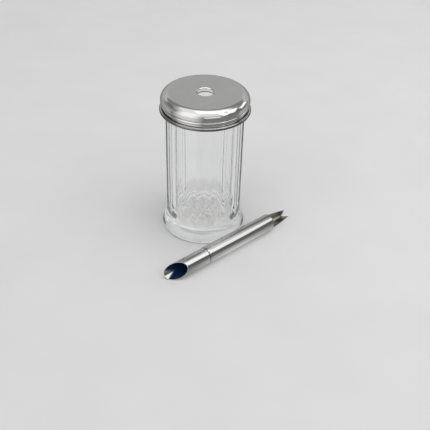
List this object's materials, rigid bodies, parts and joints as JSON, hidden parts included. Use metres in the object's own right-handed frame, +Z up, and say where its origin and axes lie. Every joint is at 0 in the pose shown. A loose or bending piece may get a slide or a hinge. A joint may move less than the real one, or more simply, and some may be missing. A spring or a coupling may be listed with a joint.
{
  "type": "sugar shaker",
  "caption": "Fluted clear glass sugar jar with a flared foot, a screwed steel lid with a central collar, and a loose steel pouring tube that doses the sugar.",
  "frame": {"origin": "centre of the ring on which the glass jar stands, on the table", "axes": "+Z up along the axis of the jar, lid and collar; +X along the pouring tube that lies beside the jar, from its spout to its notched end; -Y towards the side on which the tube lies"},
  "size_m": [0.1499, 0.0982, 0.136],
  "materials": {
    "glass": "clear pressed glass, fire polished",
    "lid_steel": "polished stainless sheet with a fine satin top",
    "tube_steel": "polished stainless tube with fine lengthwise drawing lines",
    "seal": "matte translucent silicone"
  },
  "bodies": {
    "jar": {"glass_jar": "glass"},
    "seal": {"seal_ring": "seal"},
    "lid": {"lid": "lid_steel"},
    "tube": {"spout_tube": "tube_steel", "dosing_tube": "tube_steel"}
  },
  "joints": [
    {"name": "lid_rise", "type": "slide", "parent": "jar", "child": "seal", "axis": [0, 0, 1], "range_m": [0, 0.0151]},
    {"name": "lid_turn", "type": "hinge", "parent": "seal", "child": "lid", "pos_m": [0, 0, 0.128], "axis": [0, 0, 1], "range_deg": [0, 1080]},
    {"name": "tube_lift", "type": "slide", "parent": "jar", "child": "tube", "axis": [0, 0, 1], "range_m": [0, 0.15]}
  ],
  "couplings": [
    {"joint": "lid_rise", "follows": "lid_turn", "m_per_rad": 0.00079577}
  ]
}
